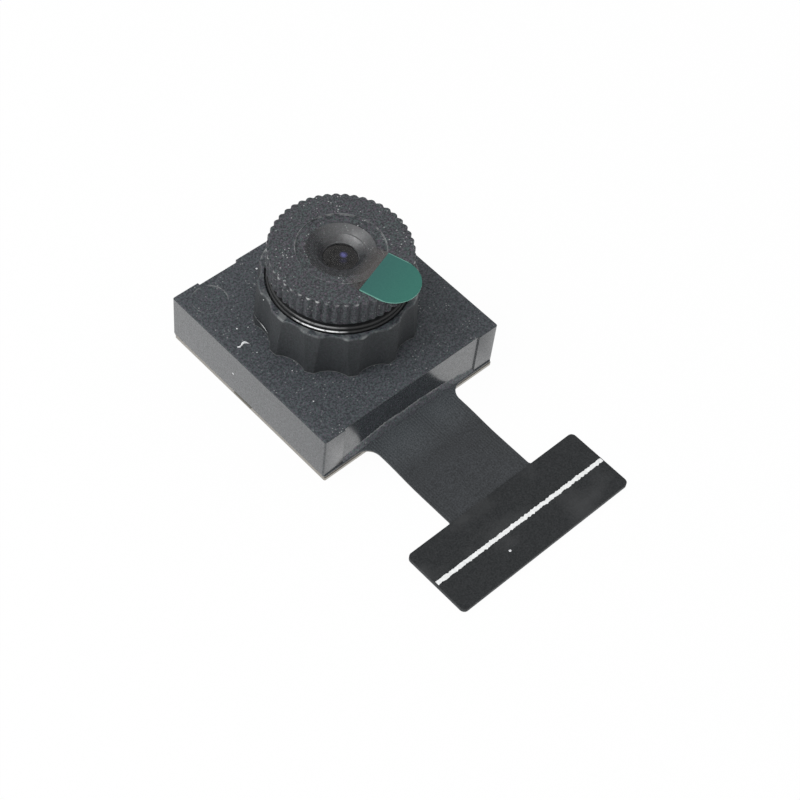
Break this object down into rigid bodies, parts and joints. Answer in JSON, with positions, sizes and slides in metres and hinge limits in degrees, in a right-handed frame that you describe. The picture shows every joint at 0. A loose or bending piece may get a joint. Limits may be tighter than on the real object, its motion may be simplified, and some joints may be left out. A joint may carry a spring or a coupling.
{
  "type": "camera module",
  "caption": "Small square camera module with a knurled screw-in lens, a fluted turret and a flat flexible circuit ending in a contact tail.",
  "frame": {"origin": "centre of the rear plate's underside, on the optical axis", "axes": "+Z along the optical axis, out of the lens; the flexible circuit's tail points to -Y; X across the tail"},
  "size_m": [0.0127, 0.0235, 0.0087],
  "materials": {
    "holder_plastic": "fine spark-eroded matt black on top, smooth side walls",
    "barrel_plastic": "matt black with a fine grain, glossy flange rim",
    "flex_film": "black matt coverlay with faint lengthwise traces",
    "stiffener_sheet": "matt black sheet",
    "white_ink": "matt printed ink",
    "contact_gold": "gold plating",
    "black_glue": "cured black adhesive",
    "plate_steel": "rolled steel sheet",
    "sensor_silicon": "dark silicon",
    "solder": "solder",
    "clear_glass": "polished",
    "filter_glass": "coated",
    "lens_glass": "coated, violet reflection",
    "spacer_black": "matt black",
    "capacitor_ceramic": "ceramic",
    "clear_film": "clear smooth film",
    "green_film": "smooth green film"
  },
  "bodies": {
    "module": {"lens_holder": "holder_plastic", "rear_plate": "plate_steel", "flex_circuit": "flex_film", "tail_stiffener": "stiffener_sheet", "tail_marking_line": "white_ink", "contact_fingers": "contact_gold", "holder_adhesive": "black_glue", "root_glue": "black_glue", "image_sensor": "sensor_silicon", "sensor_solder_pads": "solder", "sensor_cover_glass": "clear_glass", "chip_capacitors": "capacitor_ceramic", "ir_cut_filter": "filter_glass", "filter_adhesive": "black_glue"},
    "lens_glasses": {"front_lens": "lens_glass", "aperture_stop": "spacer_black", "second_lens": "lens_glass", "front_spacer": "spacer_black", "third_lens": "lens_glass", "rear_spacer": "spacer_black", "rear_lens": "lens_glass"},
    "barrel": {"lens_barrel": "barrel_plastic", "lens_retainer": "barrel_plastic", "protective_film": "clear_film", "film_pull_tab": "green_film"}
  },
  "joints": [
    {"name": "focus_advance", "type": "slide", "parent": "module", "child": "lens_glasses", "axis": [0, 0, 1], "range_m": [0, 0.00035]},
    {"name": "focus_turn", "type": "hinge", "parent": "lens_glasses", "child": "barrel", "pos_m": [0, 0, 0.0065], "axis": [0, 0, 1], "range_deg": [0, 360]}
  ],
  "couplings": [
    {"joint": "focus_turn", "follows": "focus_advance", "rad_per_m": 17952}
  ]
}
